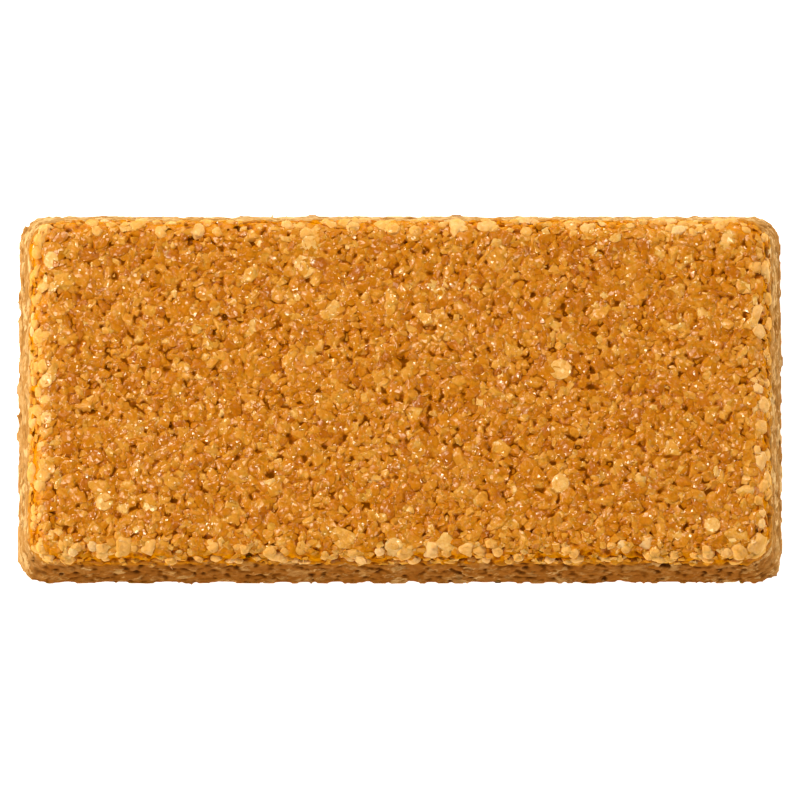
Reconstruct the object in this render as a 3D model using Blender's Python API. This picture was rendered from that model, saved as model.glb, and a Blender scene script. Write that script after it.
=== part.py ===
"""Peanut bar: finely chopped roasted peanuts pressed into a slab and set in caramelised sugar.

The bar is one solid. Its mould shape has a flat top, a rounded rim, walls that lean out towards the
foot, and a flat underside. A sheet of chopped-nut relief is wrapped over that shape from the middle
of the top, out over the rim and down to the foot. The largest chips stand out of the sheet, most of
them along the rim, and are fused to it.

Units are metres, +Z is up, and the origin is the centre of the underside. +X runs along the bar.
"""

import math
import random

import bmesh
import bpy
from mathutils import Matrix, Vector
from mathutils.geometry import delaunay_2d_cdt

# Driving dimensions of the bar
LENGTH = 0.100
WIDTH = 0.0487
HEIGHT = 0.0095
FOOT_CORNER_RADIUS = 0.0036
TOP_CORNER_RADIUS = 0.0018
RIM_RADIUS = 0.0021
WALL_DRAFT = math.radians(15.0)

# Relief of the chopped nuts. The top was pressed, so it only has pits below the press plane.
GRAIN_PITCH = 0.00152
SIDEWAYS_JITTER = 0.26
PIT_SHARE = 0.42
PIT_DEPTH = (0.00015, 0.00052)
PRESSED_UNEVENNESS = 0.00004
WALL_RELIEF = 0.00034
FOOT_WOBBLE = 0.00022

# The largest chips, fused to the sheet
RIM_CHIP_SPACING = 0.0050
WALL_CHIP_SPACING = 0.0120
TOP_CHIP_COUNT = 14
CHIP_CORNERS = 11
CHIP_HALF_SIZES = (0.00145, 0.00110, 0.00080)
CHIP_SIZE_SPREAD = 0.22
CHIP_STANDS_OUT = 0.00038
PRESS_MARGIN = 0.00010
SEED = 11

SHORTEST_EDGE = 0.00002
COLLAPSE_PASSES = 3
PEANUT_CANDY = {"colour": (0.60, 0.23, 0.035, 1.0), "roughness": 0.42}

# Worked out from the dimensions above: lengths along the section, from the edge of the flat top
RIM_TURN = math.radians(90.0) - WALL_DRAFT
RIM_RUN = RIM_RADIUS * RIM_TURN
RIM_REACH = RIM_RADIUS * math.sin(RIM_TURN)
RIM_DROP = RIM_RADIUS * (1.0 - math.cos(RIM_TURN))
WALL_RUN = (HEIGHT - RIM_DROP) / math.cos(WALL_DRAFT)
FULL_RUN = RIM_RUN + WALL_RUN
FULL_REACH = RIM_REACH + (HEIGHT - RIM_DROP) * math.tan(WALL_DRAFT)
TOP_HALF = Vector((LENGTH / 2 - FULL_REACH, WIDTH / 2 - FULL_REACH))

rng = random.Random(SEED)


def clear_scene():
    for old in list(bpy.data.objects):
        bpy.data.objects.remove(old, do_unlink=True)


def new_collection(name):
    made = bpy.data.collections.new(name)
    bpy.context.scene.collection.children.link(made)
    return made


def section(run):
    """How far the surface has gone out, how high it is and how steeply it faces up, after a run."""
    if run < RIM_RUN:
        turned = run / RIM_RADIUS
        reach = RIM_RADIUS * math.sin(turned)
        height = HEIGHT - RIM_RADIUS * (1.0 - math.cos(turned))
        return reach, height, turned
    down = run - RIM_RUN
    reach = RIM_REACH + down * math.sin(WALL_DRAFT)
    height = HEIGHT - RIM_DROP - down * math.cos(WALL_DRAFT)
    return reach, height, RIM_TURN


def corner_radius(run):
    return TOP_CORNER_RADIUS + (FOOT_CORNER_RADIUS - TOP_CORNER_RADIUS) * run / FULL_RUN


def outline_stations(half, radius, pitch, phase):
    """Evenly spaced stations round a rounded rectangle, each as (corner, straight, fraction)."""
    stations = []
    for quarter in range(4):
        straight = 2.0 * (half[quarter % 2] - radius)
        arc = radius * math.pi / 2
        for kind, length in (("straight", straight), ("arc", arc)):
            count = max(2, round(length / pitch))
            for index in range(count):
                stations.append((quarter, kind, (index + phase) / count))
    return stations


def on_outline(half, radius, station):
    """The plan position of a station, and the way out of the outline there."""
    quarter, kind, fraction = station
    along_half = half[quarter % 2]
    across_half = half[(quarter + 1) % 2]
    if kind == "straight":
        point = Vector(((2.0 * fraction - 1.0) * (along_half - radius), -across_half))
        outward = Vector((0.0, -1.0))
    else:
        swept = fraction * math.pi / 2
        outward = Vector((math.sin(swept), -math.cos(swept)))
        point = Vector((along_half - radius, radius - across_half)) + radius * outward
    turn = Matrix.Rotation(quarter * math.pi / 2, 2)
    return turn @ point, turn @ outward


def mould_point(run, station):
    """A point on the mould shape, and the way out of the surface there."""
    reach, height, turned = section(run)
    half = TOP_HALF + Vector((reach, reach))
    point, outward = on_outline(half, corner_radius(run), station)
    normal = Vector((outward.x, outward.y, 0.0)) * math.sin(turned)
    normal.z = math.cos(turned)
    return Vector((point.x, point.y, height)), normal


def unrolled_point(run, station):
    """The same point with the rim and wall laid out flat round the top."""
    half = TOP_HALF + Vector((run, run))
    return on_outline(half, TOP_CORNER_RADIUS + run, station)[0]


def pressed_top_points():
    """Jittered rows of points on the flat top, none nearer its edge than half a grain."""
    row_gap = GRAIN_PITCH * math.sqrt(3.0) / 2
    room = TOP_HALF - Vector((GRAIN_PITCH, GRAIN_PITCH)) * 0.6
    rows = int(2.0 * room.y / row_gap)
    columns = int(2.0 * room.x / GRAIN_PITCH)
    points = []
    for row in range(rows + 1):
        y = -room.y + 2.0 * room.y * row / rows
        stagger = 0.25 if row % 2 else -0.25
        for column in range(columns + 1):
            x = -room.x + 2.0 * room.x * (column + stagger) / columns
            slip = Vector((rng.uniform(-1, 1), rng.uniform(-1, 1))) * SIDEWAYS_JITTER * GRAIN_PITCH
            points.append(Vector((x, y)) + slip)
    return points


def top_relief():
    if rng.random() < PIT_SHARE:
        return -rng.uniform(*PIT_DEPTH)
    return rng.uniform(-PRESSED_UNEVENNESS, PRESSED_UNEVENNESS)


def wrap_grain_sheet():
    """The solid bar: the relief sheet over top, rim and wall, closed by a flat underside."""
    flat_points = []
    solid_points = []
    for point in pressed_top_points():
        flat_points.append(point)
        solid_points.append(Vector((point.x, point.y, HEIGHT + top_relief())))

    ring_count = round(FULL_RUN / GRAIN_PITCH)
    for ring in range(ring_count + 1):
        is_foot = ring == ring_count
        level = FULL_RUN * ring / ring_count
        reach = section(level)[0]
        half = TOP_HALF + Vector((reach, reach))
        for station in outline_stations(half, corner_radius(level), GRAIN_PITCH, 0.5 * (ring % 2)):
            slip = rng.uniform(-1, 1) * SIDEWAYS_JITTER * GRAIN_PITCH
            run = level if is_foot else max(0.0, level + slip)
            point, normal = mould_point(run, station)
            if is_foot:
                point += Vector((normal.x, normal.y, 0.0)) * rng.uniform(-1, 1) * FOOT_WOBBLE
            elif ring == 0:
                point += normal * top_relief()
            else:
                point += normal * rng.uniform(-1, 1) * WALL_RELIEF
            flat_points.append(unrolled_point(run, station))
            solid_points.append(point)

    triangles = delaunay_2d_cdt(flat_points, [], [], 0, 1e-7)[2]
    bm = bmesh.new()
    vertices = [bm.verts.new(point) for point in solid_points]
    for triangle in triangles:
        bm.faces.new([vertices[index] for index in triangle])
    foot_edges = [edge for edge in bm.edges if edge.is_boundary]
    bmesh.ops.holes_fill(bm, edges=foot_edges, sides=0)
    bmesh.ops.recalc_face_normals(bm, faces=bm.faces)
    bmesh.ops.triangulate(bm, faces=bm.faces)
    return bm


def chip_mesh(centre, normal):
    """One angular chip: the hull of corners scattered on a squashed ball, flat side outwards."""
    turn = normal.to_track_quat("Z", "Y").to_matrix() @ Matrix.Rotation(rng.uniform(0, math.tau), 3, "Z")
    sizes = [half * rng.uniform(1.0 - CHIP_SIZE_SPREAD, 1.0 + CHIP_SIZE_SPREAD)
             for half in CHIP_HALF_SIZES]
    bm = bmesh.new()
    spiral = math.pi * (3.0 - math.sqrt(5.0))
    for index in range(CHIP_CORNERS):
        z = 1.0 - (2.0 * index + 1.0) / CHIP_CORNERS
        around = spiral * index + rng.uniform(-0.35, 0.35)
        flat = math.sqrt(1.0 - z * z)
        corner = Vector((flat * math.cos(around), flat * math.sin(around), z))
        corner = turn @ Vector([part * size for part, size in zip(corner, sizes)]) + centre
        corner.z = min(corner.z, HEIGHT + PRESS_MARGIN * rng.uniform(0.2, 1.0))
        bm.verts.new(corner)
    hull = bmesh.ops.convex_hull(bm, input=bm.verts)
    spare = [item for item in hull["geom_interior"] if isinstance(item, bmesh.types.BMVert)]
    bmesh.ops.delete(bm, geom=spare, context="VERTS")
    bmesh.ops.recalc_face_normals(bm, faces=bm.faces)
    return bm


def chip_places():
    """Where the largest chips sit: (point on the mould shape, way out)."""
    places = []
    for run, spacing in ((RIM_RUN * 0.55, RIM_CHIP_SPACING), (RIM_RUN + WALL_RUN * 0.5, WALL_CHIP_SPACING)):
        reach = section(run)[0]
        half = TOP_HALF + Vector((reach, reach))
        for station in outline_stations(half, corner_radius(run), spacing, 0.5):
            shifted = run + rng.uniform(-0.5, 0.5) * GRAIN_PITCH
            places.append(mould_point(shifted, station))
    for index in range(TOP_CHIP_COUNT):
        across = -0.62 if index % 2 else 0.62
        along = 2.0 * (index + 0.5) / TOP_CHIP_COUNT - 1.0
        x = TOP_HALF.x * along + rng.uniform(-1, 1) * GRAIN_PITCH
        y = TOP_HALF.y * across * rng.uniform(0.2, 1.0)
        places.append((Vector((x, y, HEIGHT)), Vector((0.0, 0.0, 1.0))))
    return places


def add_object(name, bm, collection, material):
    mesh = bpy.data.meshes.new(name)
    bm.to_mesh(mesh)
    bm.free()
    mesh.materials.append(material)
    made = bpy.data.objects.new(name, mesh)
    collection.objects.link(made)
    return made


def apply_modifiers(target):
    bpy.context.view_layer.update()
    evaluated = target.evaluated_get(bpy.context.evaluated_depsgraph_get())
    finished = bpy.data.meshes.new_from_object(evaluated)
    target.modifiers.clear()
    target.data = finished


def fuse_chips(bar, chips):
    union = bar.modifiers.new("Fuse chips", "BOOLEAN")
    union.operation = "UNION"
    union.operand_type = "COLLECTION"
    union.collection = chips
    union.solver = "MANIFOLD"
    apply_modifiers(bar)
    for chip in list(chips.objects):
        bpy.data.objects.remove(chip, do_unlink=True)
    bpy.data.collections.remove(chips)


def joined_to(start):
    """Every vertex that edges join to the starting one, itself included."""
    found = {start}
    waiting = [start]
    while waiting:
        vertex = waiting.pop()
        for neighbour in [edge.other_vert(vertex) for edge in vertex.link_edges]:
            if neighbour not in found:
                found.add(neighbour)
                waiting.append(neighbour)
    return found


def tidy_and_centre(bar):
    """Fill sealed hollows, close up the seams of fusing, and put the middle of the foot on the origin."""
    bm = bmesh.new()
    bm.from_mesh(bar.data)
    outer_skin = joined_to(max(bm.verts, key=lambda vertex: vertex.co.x))
    sealed = [vertex for vertex in bm.verts if vertex not in outer_skin]
    bmesh.ops.delete(bm, geom=sealed, context="VERTS")
    bmesh.ops.triangulate(bm, faces=bm.faces)
    for _ in range(COLLAPSE_PASSES):
        short = [edge for edge in bm.edges if edge.calc_length() < SHORTEST_EDGE]
        bmesh.ops.collapse(bm, edges=short)
    xs = [vertex.co.x for vertex in bm.verts]
    ys = [vertex.co.y for vertex in bm.verts]
    middle = Vector(((min(xs) + max(xs)) / 2, (min(ys) + max(ys)) / 2, 0.0))
    bmesh.ops.translate(bm, verts=bm.verts, vec=-middle)
    bmesh.ops.recalc_face_normals(bm, faces=bm.faces)
    bm.to_mesh(bar.data)
    bm.free()


def peanut_candy():
    material = bpy.data.materials.new("peanut_candy")
    material.use_nodes = True
    shader = material.node_tree.nodes["Principled BSDF"]
    shader.inputs["Base Color"].default_value = PEANUT_CANDY["colour"]
    shader.inputs["Roughness"].default_value = PEANUT_CANDY["roughness"]
    shader.inputs["Metallic"].default_value = 0.0
    return material


def main():
    clear_scene()
    part = new_collection("peanut_bar")
    chips = new_collection("chips_to_fuse")
    candy = peanut_candy()
    bar = add_object("peanut_bar", wrap_grain_sheet(), part, candy)
    for number, (point, normal) in enumerate(chip_places()):
        sunk = CHIP_HALF_SIZES[2] - CHIP_STANDS_OUT
        bm = chip_mesh(point - normal * sunk, normal)
        add_object(f"chip_{number:03d}", bm, chips, candy)
    fuse_chips(bar, chips)
    tidy_and_centre(bar)


main()
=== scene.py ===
"""Looks of the peanut bar: chopped roasted peanuts lying in set sugar syrup, on a white table.

The bar is built up as it was made. A mould form gives the shape, the syrup fills it, and cut chips
of peanut are laid over it, the largest first, each pressed back to the face of the mould. One glaze
runs over all of it, and the crisp chips of the top and the rim lie on the glaze.
"""

import itertools
import math
import random

import bpy
import numpy as np
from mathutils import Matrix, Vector
from mathutils.bvhtree import BVHTree
from mathutils.kdtree import KDTree


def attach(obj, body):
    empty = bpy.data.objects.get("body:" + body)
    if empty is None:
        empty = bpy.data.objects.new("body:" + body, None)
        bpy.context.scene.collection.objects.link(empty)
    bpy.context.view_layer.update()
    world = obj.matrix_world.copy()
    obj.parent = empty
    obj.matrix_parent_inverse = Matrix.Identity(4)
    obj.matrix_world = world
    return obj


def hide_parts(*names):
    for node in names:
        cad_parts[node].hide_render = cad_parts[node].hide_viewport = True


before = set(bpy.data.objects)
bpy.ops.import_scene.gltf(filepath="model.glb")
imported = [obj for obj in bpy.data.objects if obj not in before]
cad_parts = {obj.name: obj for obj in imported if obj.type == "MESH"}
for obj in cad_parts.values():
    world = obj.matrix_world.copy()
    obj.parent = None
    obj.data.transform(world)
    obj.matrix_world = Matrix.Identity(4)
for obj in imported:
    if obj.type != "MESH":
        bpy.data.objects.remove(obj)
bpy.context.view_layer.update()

MM = 0.001

# The mould
LENGTH = 100.0 * MM
WIDTH = 48.7 * MM
HEIGHT = 9.5 * MM
WALL_DRAFT = math.radians(15.0)
CORNER_RADIUS = 3.6 * MM
RIM_RADIUS = 2.1 * MM
RIM_TANGENT = RIM_RADIUS * math.tan((math.radians(90.0) - WALL_DRAFT) / 2)
TOP_INSET = HEIGHT * math.tan(WALL_DRAFT)
CORNER_SEGMENTS = 6
RIM_SEGMENTS = 7

# Where a mould face counts as top, rim, wall or underside, by how far its normal faces up
TOP_FACING = 0.985
UNDERSIDE_FACING = -0.5

# The rim's chunks and its look reach this far down from the top, and the wall lies below. The
# rounding's foot lies this far in from the wall, in rim radii
RIM_DROP = 3.1 * MM
WALL_TOP = HEIGHT - RIM_DROP
RIM_FOOT = 0.5

# Below this height a face of the glaze counts as the underside
FOOT_HEIGHT = 0.5 * MM

# Half sizes in mm of the chopped pieces, the largest first, and how many places to try for each
CHOP_SIZES = (
    (1.50, 60),
    (1.25, 260),
    (1.05, 1100),
    (0.90, 3200),
    (0.78, 8000),
    (0.66, 18000),
    (0.56, 26000),
    (0.46, 40000),
    (0.36, 44000),
)

# How close two pieces may lie, as a share of their half sizes together, and the step to which places
# are rounded to put them in order
SPACING = 0.56
ORDER_STEP = 0.01 * MM

# A piece with a smaller half size is a crumb
CRUMB_SIZE = 0.5 * MM

# How many shapes of each kind are cut
CHIP_SHAPES = 9
SPLIT_SHAPES = 5
CHUNK_SHAPES = 8
CRUMB_SHAPES = 7
LUMP_SHAPES = 8

# How a shape is cut, at unit half size: how far a cut strays round it, as a share of the angle from
# one to the next, how far from the middle it is, the same for the cut across the top, how far that
# leans, and how close corners are merged
CUT_STRAY = 0.28
CUT_DISTANCE = (0.62, 0.95)
TOP_CUT_DISTANCE = 0.8
TOP_CUT_LEAN = 0.3
MERGE_DISTANCE = 0.02

# How the chips of each region lie. A chip's length, width and height are in its own half size, and
# so is how far its middle is sunk. What stands proud of the mould face by more than so many mm is
# pressed back, but for the share that gives. The sinking is uneven by so many mm, the lean is in
# radians, and the tint is the mean and spread of the chips' tone
CHIP_LOOKS = {
    "pressed_chips": {"shape": "chip", "half_sizes": (1.3, 1.0, 0.8), "proud": 0.05, "give": 0.45,
                      "sink": 0.65, "uneven": 0.18, "lean": 0.5, "tint": (0.5, 0.11)},
    "rim_chunks": {"shape": "chunk", "half_sizes": (1.35, 1.15, 1.0), "proud": 0.2, "give": 0.75,
                   "sink": 0.62, "uneven": 0.18, "lean": 0.6, "tint": (0.5, 0.12)},
    "wall_flakes": {"shape": "chip", "half_sizes": (1.8, 1.0, 0.6), "proud": 0.05, "give": 0.3,
                    "sink": 0.5, "uneven": 0.1, "lean": 0.2, "tint": (0.5, 0.13)},
    "underside_chips": {"shape": "chip", "half_sizes": (1.3, 1.0, 0.8), "proud": 0.0, "give": 0.1,
                        "sink": 0.5, "uneven": 0.06, "lean": 0.3, "tint": (0.5, 0.12)},
    "crumbs": {"shape": "crumb", "half_sizes": (1.3, 1.0, 0.9), "proud": 0.05, "give": 0.4,
               "sink": 0.5, "uneven": 0.12, "lean": 0.8, "tint": (0.55, 0.12)},
}

# How far chips differ in how proud they stand, and in size
PROUD_SPREAD = 0.06 * MM
SIZE_SPREAD = (0.8, 1.2)

# A chip on a wall lies along it, give or take this angle. On a face that is nearly level, by this
# length of the level line across it, a chip lies any way round
ALONG_WALL_SPREAD = 0.5
LEVEL_LINE = 0.2

# How points are pressed back to the mould face: how often, and the step that its slope is read with
PRESS_ROUNDS = 2
PRESS_STEP = 0.02 * MM

# The larger pale pieces that stand out on the top, in mm: shape, place along and across the bar,
# length, width, and turn in degrees
PALE_PIECES = (
    ("disc", -11.8, 19.1, 2.2, 2.1, 20),
    ("hook", -12.6, 15.7, 3.6, 3.3, 150),
    ("bean", -19.3, 8.5, 2.9, 1.6, 60),
    ("chip", 12.7, 16.6, 2.0, 1.7, 10),
    ("bean", 5.9, 14.0, 1.9, 1.0, 70),
    ("hook", 5.3, 12.2, 2.0, 1.8, 200),
    ("disc", 20.9, 2.4, 2.9, 2.7, 0),
    ("chip", 13.2, 1.3, 2.0, 1.7, 35),
    ("disc", 20.8, -12.7, 2.6, 2.3, 80),
    ("chip", -16.8, -12.8, 2.1, 1.6, 120),
    ("disc", -38.5, -15.1, 2.4, 2.2, 45),
    ("chip", -36.2, -15.7, 2.2, 2.0, 15),
    ("chip", 39.5, 9.5, 2.2, 1.8, 50),
    ("disc", 40.6, -18.1, 2.1, 1.9, 0),
    ("disc", -0.8, -21.0, 2.4, 2.3, 30),
    ("disc", -45.6, 16.9, 2.3, 2.0, 90),
    ("chip", -45.9, 14.0, 2.2, 1.8, 75),
    ("disc", -46.2, 0.9, 1.9, 1.8, 0),
    ("disc", -46.2, -4.0, 1.9, 1.7, 0),
)

# Their depth in mm and the share of it that their middle is sunk, how they tilt, how they are
# pressed, and their tone
PALE_DEPTH = 1.5
PALE_SINK = 0.35
PALE_TILT = 0.15
PALE_PROUD = 0.1 * MM
PALE_GIVE = 0.4
PALE_TONE = 0.86

# Their shapes, at unit half size: the thickness of a bent piece, where its ring is cut off and how
# far that cut slants, the sides of a disc, and which of the chip shapes a chip has
HOOK_THICKNESS = 0.42
HOOK_KEPT_ABOVE = -0.45
BEAN_THICKNESS = 0.30
BEAN_KEPT_ABOVE = 0.35
RING_CUT_SLANT = 0.15
DISC_SIDES = 10
PALE_CHIP_SHAPE = 3

# A tilted shape tilts about a level line with a heading up to this angle
TILT_HEADINGS = 6.0

# The row of lumps along the rim: how far apart and the range of that, their half sizes and the
# ranges of their length, width and height in them, how far they are off the line, how they tilt, and
# their tone, its spread and its least
LUMP_SPACING = 1.75 * MM
LUMP_SPACING_RANGE = (0.7, 1.35)
LUMP_SIZES = (0.50 * MM, 0.95 * MM)
LUMP_STRETCH = ((0.9, 1.5), (0.8, 1.1), (0.7, 1.0))
LUMP_OFF_LINE = 0.3 * MM
LUMP_TILT = 0.6
LUMP_TONE = (0.80, 0.14)
LUMP_LEAST_TONE = 0.5

# The lumps' line runs in from the top's edge and turns at the corners, both in rim radii. A lump is
# sunk by this share of its size and up to so many mm more, and pressed
LUMP_LINE_INSET = 0.55
LUMP_LINE_TURN = 0.3
LUMP_SINK = 0.62
LUMP_SINK_MORE = 0.25
LUMP_PROUD = 0.25 * MM
LUMP_GIVE = 0.5

# The syrup between the chips: its grain, the size and height of its waves, the level that they swing
# about, how far below the bar's face it stays, and how much of what stands higher gives
SYRUP_GRAIN = 0.42 * MM
SYRUP_WAVE_SIZE = 1.1 * MM
SYRUP_WAVE_HEIGHT = 1.0 * MM
SYRUP_WAVE_LEVEL = 0.78
SYRUP_BELOW_FACE = 0.10 * MM
SYRUP_GIVE = 0.1

# How finely the glaze follows the chips and syrup that it runs over, and how much it evens them
GLAZE_GRAIN = 0.235 * MM
GLAZE_EVENING = 0.3

# The glaze is thin where chips show through it and thicker in patches this far apart
GLAZE_THIN = 0.05 * MM
GLAZE_PATCHES = 0.09 * MM
GLAZE_PATCH_SIZE = 2.4 * MM

# Pinholes left by steam: how many, their radius and their depth
PINHOLE_COUNT = 240
PINHOLE_RADIUS = (0.18 * MM, 0.38 * MM)
PINHOLE_DEPTH = (0.45 * MM, 0.90 * MM)

# How much lower than its neighbours a crease is where its syrup gets the darkest painted shade, and how
# many edges off the neighbours reach
CREASE_DEPTH = 0.075 * MM
CREASE_REACH = 4

# The depths below the bar's face from and to which a chip's side loses its gloss, and the glaze loses
# its gloss and darkens with painted shade
CHIP_DARKENS = (0.06 * MM, 0.5 * MM)
GLAZE_SHADE_DEPTHS = (0.2 * MM, 0.75 * MM)

# Syrup covers a crease sooner than painted shade darkens it, by this factor
CREASE_COVER = 1.2

# On the rim the glaze lies this much lower, over this width and from this height above the wall, so
# that the chunks stand out of it. Chunks with a tone below this stay under it
RIM_SYRUP_DROP = 0.3 * MM
RIM_DROP_WIDTH = 2.4 * MM
RIM_DROP_EDGE = 0.5 * MM
RIM_CHUNKS_SHOWN = 0.56

# Within this width of the rim amber syrup covers the darker chips by this much more. A chip is bare
# of it by its tone, from the first value up and over the range of the second. The crisp chips there
# are paler by this much
RIM_AMBER = 3.2 * MM
RIM_AMBER_COVER = 0.7
BARE_TONE = 0.55
BARE_TONE_RANGE = 0.15
RIM_CHIPS_PALER = 0.08

# The rim's look fades over this height into the wall's, which is rubbed dull and darkened with painted
# shade, and frays by this much from chip to chip
RIM_FADE = 1.8 * MM
RIM_FRAY = 1.2

# Painted light: how much paler the walls are painted at the back and the two ends, which face the
# lamps, than at the front, which lies in shade, and by what factor of that they have less syrup
PAINTED_WALL_LIGHT = {"left": 0.28, "back": 0.34, "right": 0.27}
PAINTED_LIGHT_CLEARS = 2.2

# Sharper edges than this between the faces of a chip stay crisp
CRISP_ANGLE = math.radians(40)

# The tiny sugar crystals of the glaze, and the cut faces of the nut: their size, and how far they
# lean out of the surface. The crystals are drawn as coarse as they need to be to show
CRYSTAL_SIZE = 0.26 * MM
CRYSTAL_LEAN = 1.0
CUT_FACE_SIZE = 0.45 * MM
CUT_FACE_LEAN = 0.52

# The mottling of the nut's flesh: its grain and how far it shifts the tone
FLESH_GRAIN = 1.0 * MM
FLESH_SHIFT = 0.8

# A facet has gloss from where it faces up by this much, rising this steeply, and loses it in the
# hollows and on the rubbed walls by this factor
GLOSS_FROM = 0.6
GLOSS_RISE = 3.0
GLOSS_LOSS = 1.2

# The table lies this little below the bar, so that the two faces don't meet
TABLE_SIZE = 6.0
TABLE_DROP = 0.05 * MM

# The lamps: name, place and side length in metres, power in watts, and tone
WARM_WHITE = (1.0, 0.96, 0.76)
AMBER_WHITE = (1.0, 0.9, 0.7)
LAMPS = (
    ("key", (-0.42, 0.44, 0.78), 0.22, 7.9, WARM_WHITE),
    ("right", (0.75, 0.15, 0.25), 0.25, 2.5, WARM_WHITE),
    ("glint_0", (-0.1, 0.62, 0.6), 0.08, 0.6, WARM_WHITE),
    ("glint_1", (0.5, 0.45, 0.6), 0.08, 0.6, WARM_WHITE),
    ("glint_2", (-0.65, 0.05, 0.6), 0.08, 0.6, WARM_WHITE),
    ("front", (-0.2, -0.8, 0.5), 0.4, 2.85, AMBER_WHITE),
    ("left", (-0.8, -0.1, 0.3), 0.3, 2.1, WARM_WHITE),
)
WORLD_STRENGTH = 0.04

# The camera: its tilt from straight down, how far off it is, how far its aim is shifted towards the
# front, the width that the picture shows at the table, and the sensor's in mm
CAMERA_TILT = math.radians(9.5)
CAMERA_DISTANCE = 1.5
AIM_SHIFT = -0.07 * MM
PICTURE_WIDTH = 104.9 * MM
SENSOR_WIDTH = 36.0

SEED = 23
rng = np.random.default_rng(SEED)
dice = random.Random(SEED)


# Colours and materials

def colour(hex_value):
    """A linear colour from an sRGB hex value such as C26A10."""
    parts = [int(hex_value[i:i + 2], 16) / 255.0 for i in (0, 2, 4)]
    linear = [part / 12.92 if part <= 0.04045 else ((part + 0.055) / 1.055) ** 2.4 for part in parts]
    return (*linear, 1.0)


def add_node(tree, kind, settings=None, inputs=None, links=None):
    """A node with its settings, its input values, and links into it from (node, output)."""
    node = tree.nodes.new(kind)
    for name, value in (settings or {}).items():
        setattr(node, name, value)
    for name, value in (inputs or {}).items():
        node.inputs[name].default_value = value
    for name, (source, output) in (links or {}).items():
        tree.links.new(source.outputs[output], node.inputs[name])
    return node


def set_tones(ramp_node, tones):
    """Spread these colours evenly over a colour ramp."""
    ramp = ramp_node.color_ramp
    while len(ramp.elements) > 1:
        ramp.elements.remove(ramp.elements[-1])
    ramp.elements[0].position = 0.0
    ramp.elements[0].color = colour(tones[0])
    for number, tone in enumerate(tones[1:], start=1):
        ramp.elements.new(number / (len(tones) - 1)).color = colour(tone)


def new_material(name, settings):
    """A material with these values on its shader, its node tree, and the shader."""
    material = bpy.data.materials.new(name)
    material.use_nodes = True
    shader = material.node_tree.nodes["Principled BSDF"]
    for socket, value in settings.items():
        shader.inputs[socket].default_value = value
    return material, material.node_tree, shader


def leaning_facets(tree, place, surface, size, lean):
    """The surface broken into small flat facets of this size, each leaning its own way."""
    facets = add_node(tree, "ShaderNodeTexVoronoi", None, {"Scale": 1.0 / size},
                      {"Vector": (place, "Object")})
    tipped = add_node(tree, "ShaderNodeVectorMath", {"operation": "MULTIPLY_ADD"}, {1: (lean,) * 3},
                      {0: (facets, "Color"), 2: (surface, "Normal")})
    level = add_node(tree, "ShaderNodeVectorMath", {"operation": "SUBTRACT"}, {1: (lean / 2,) * 3},
                     {0: (tipped, "Vector")})
    return add_node(tree, "ShaderNodeVectorMath", {"operation": "NORMALIZE"}, None, {0: (level, "Vector")})


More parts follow.
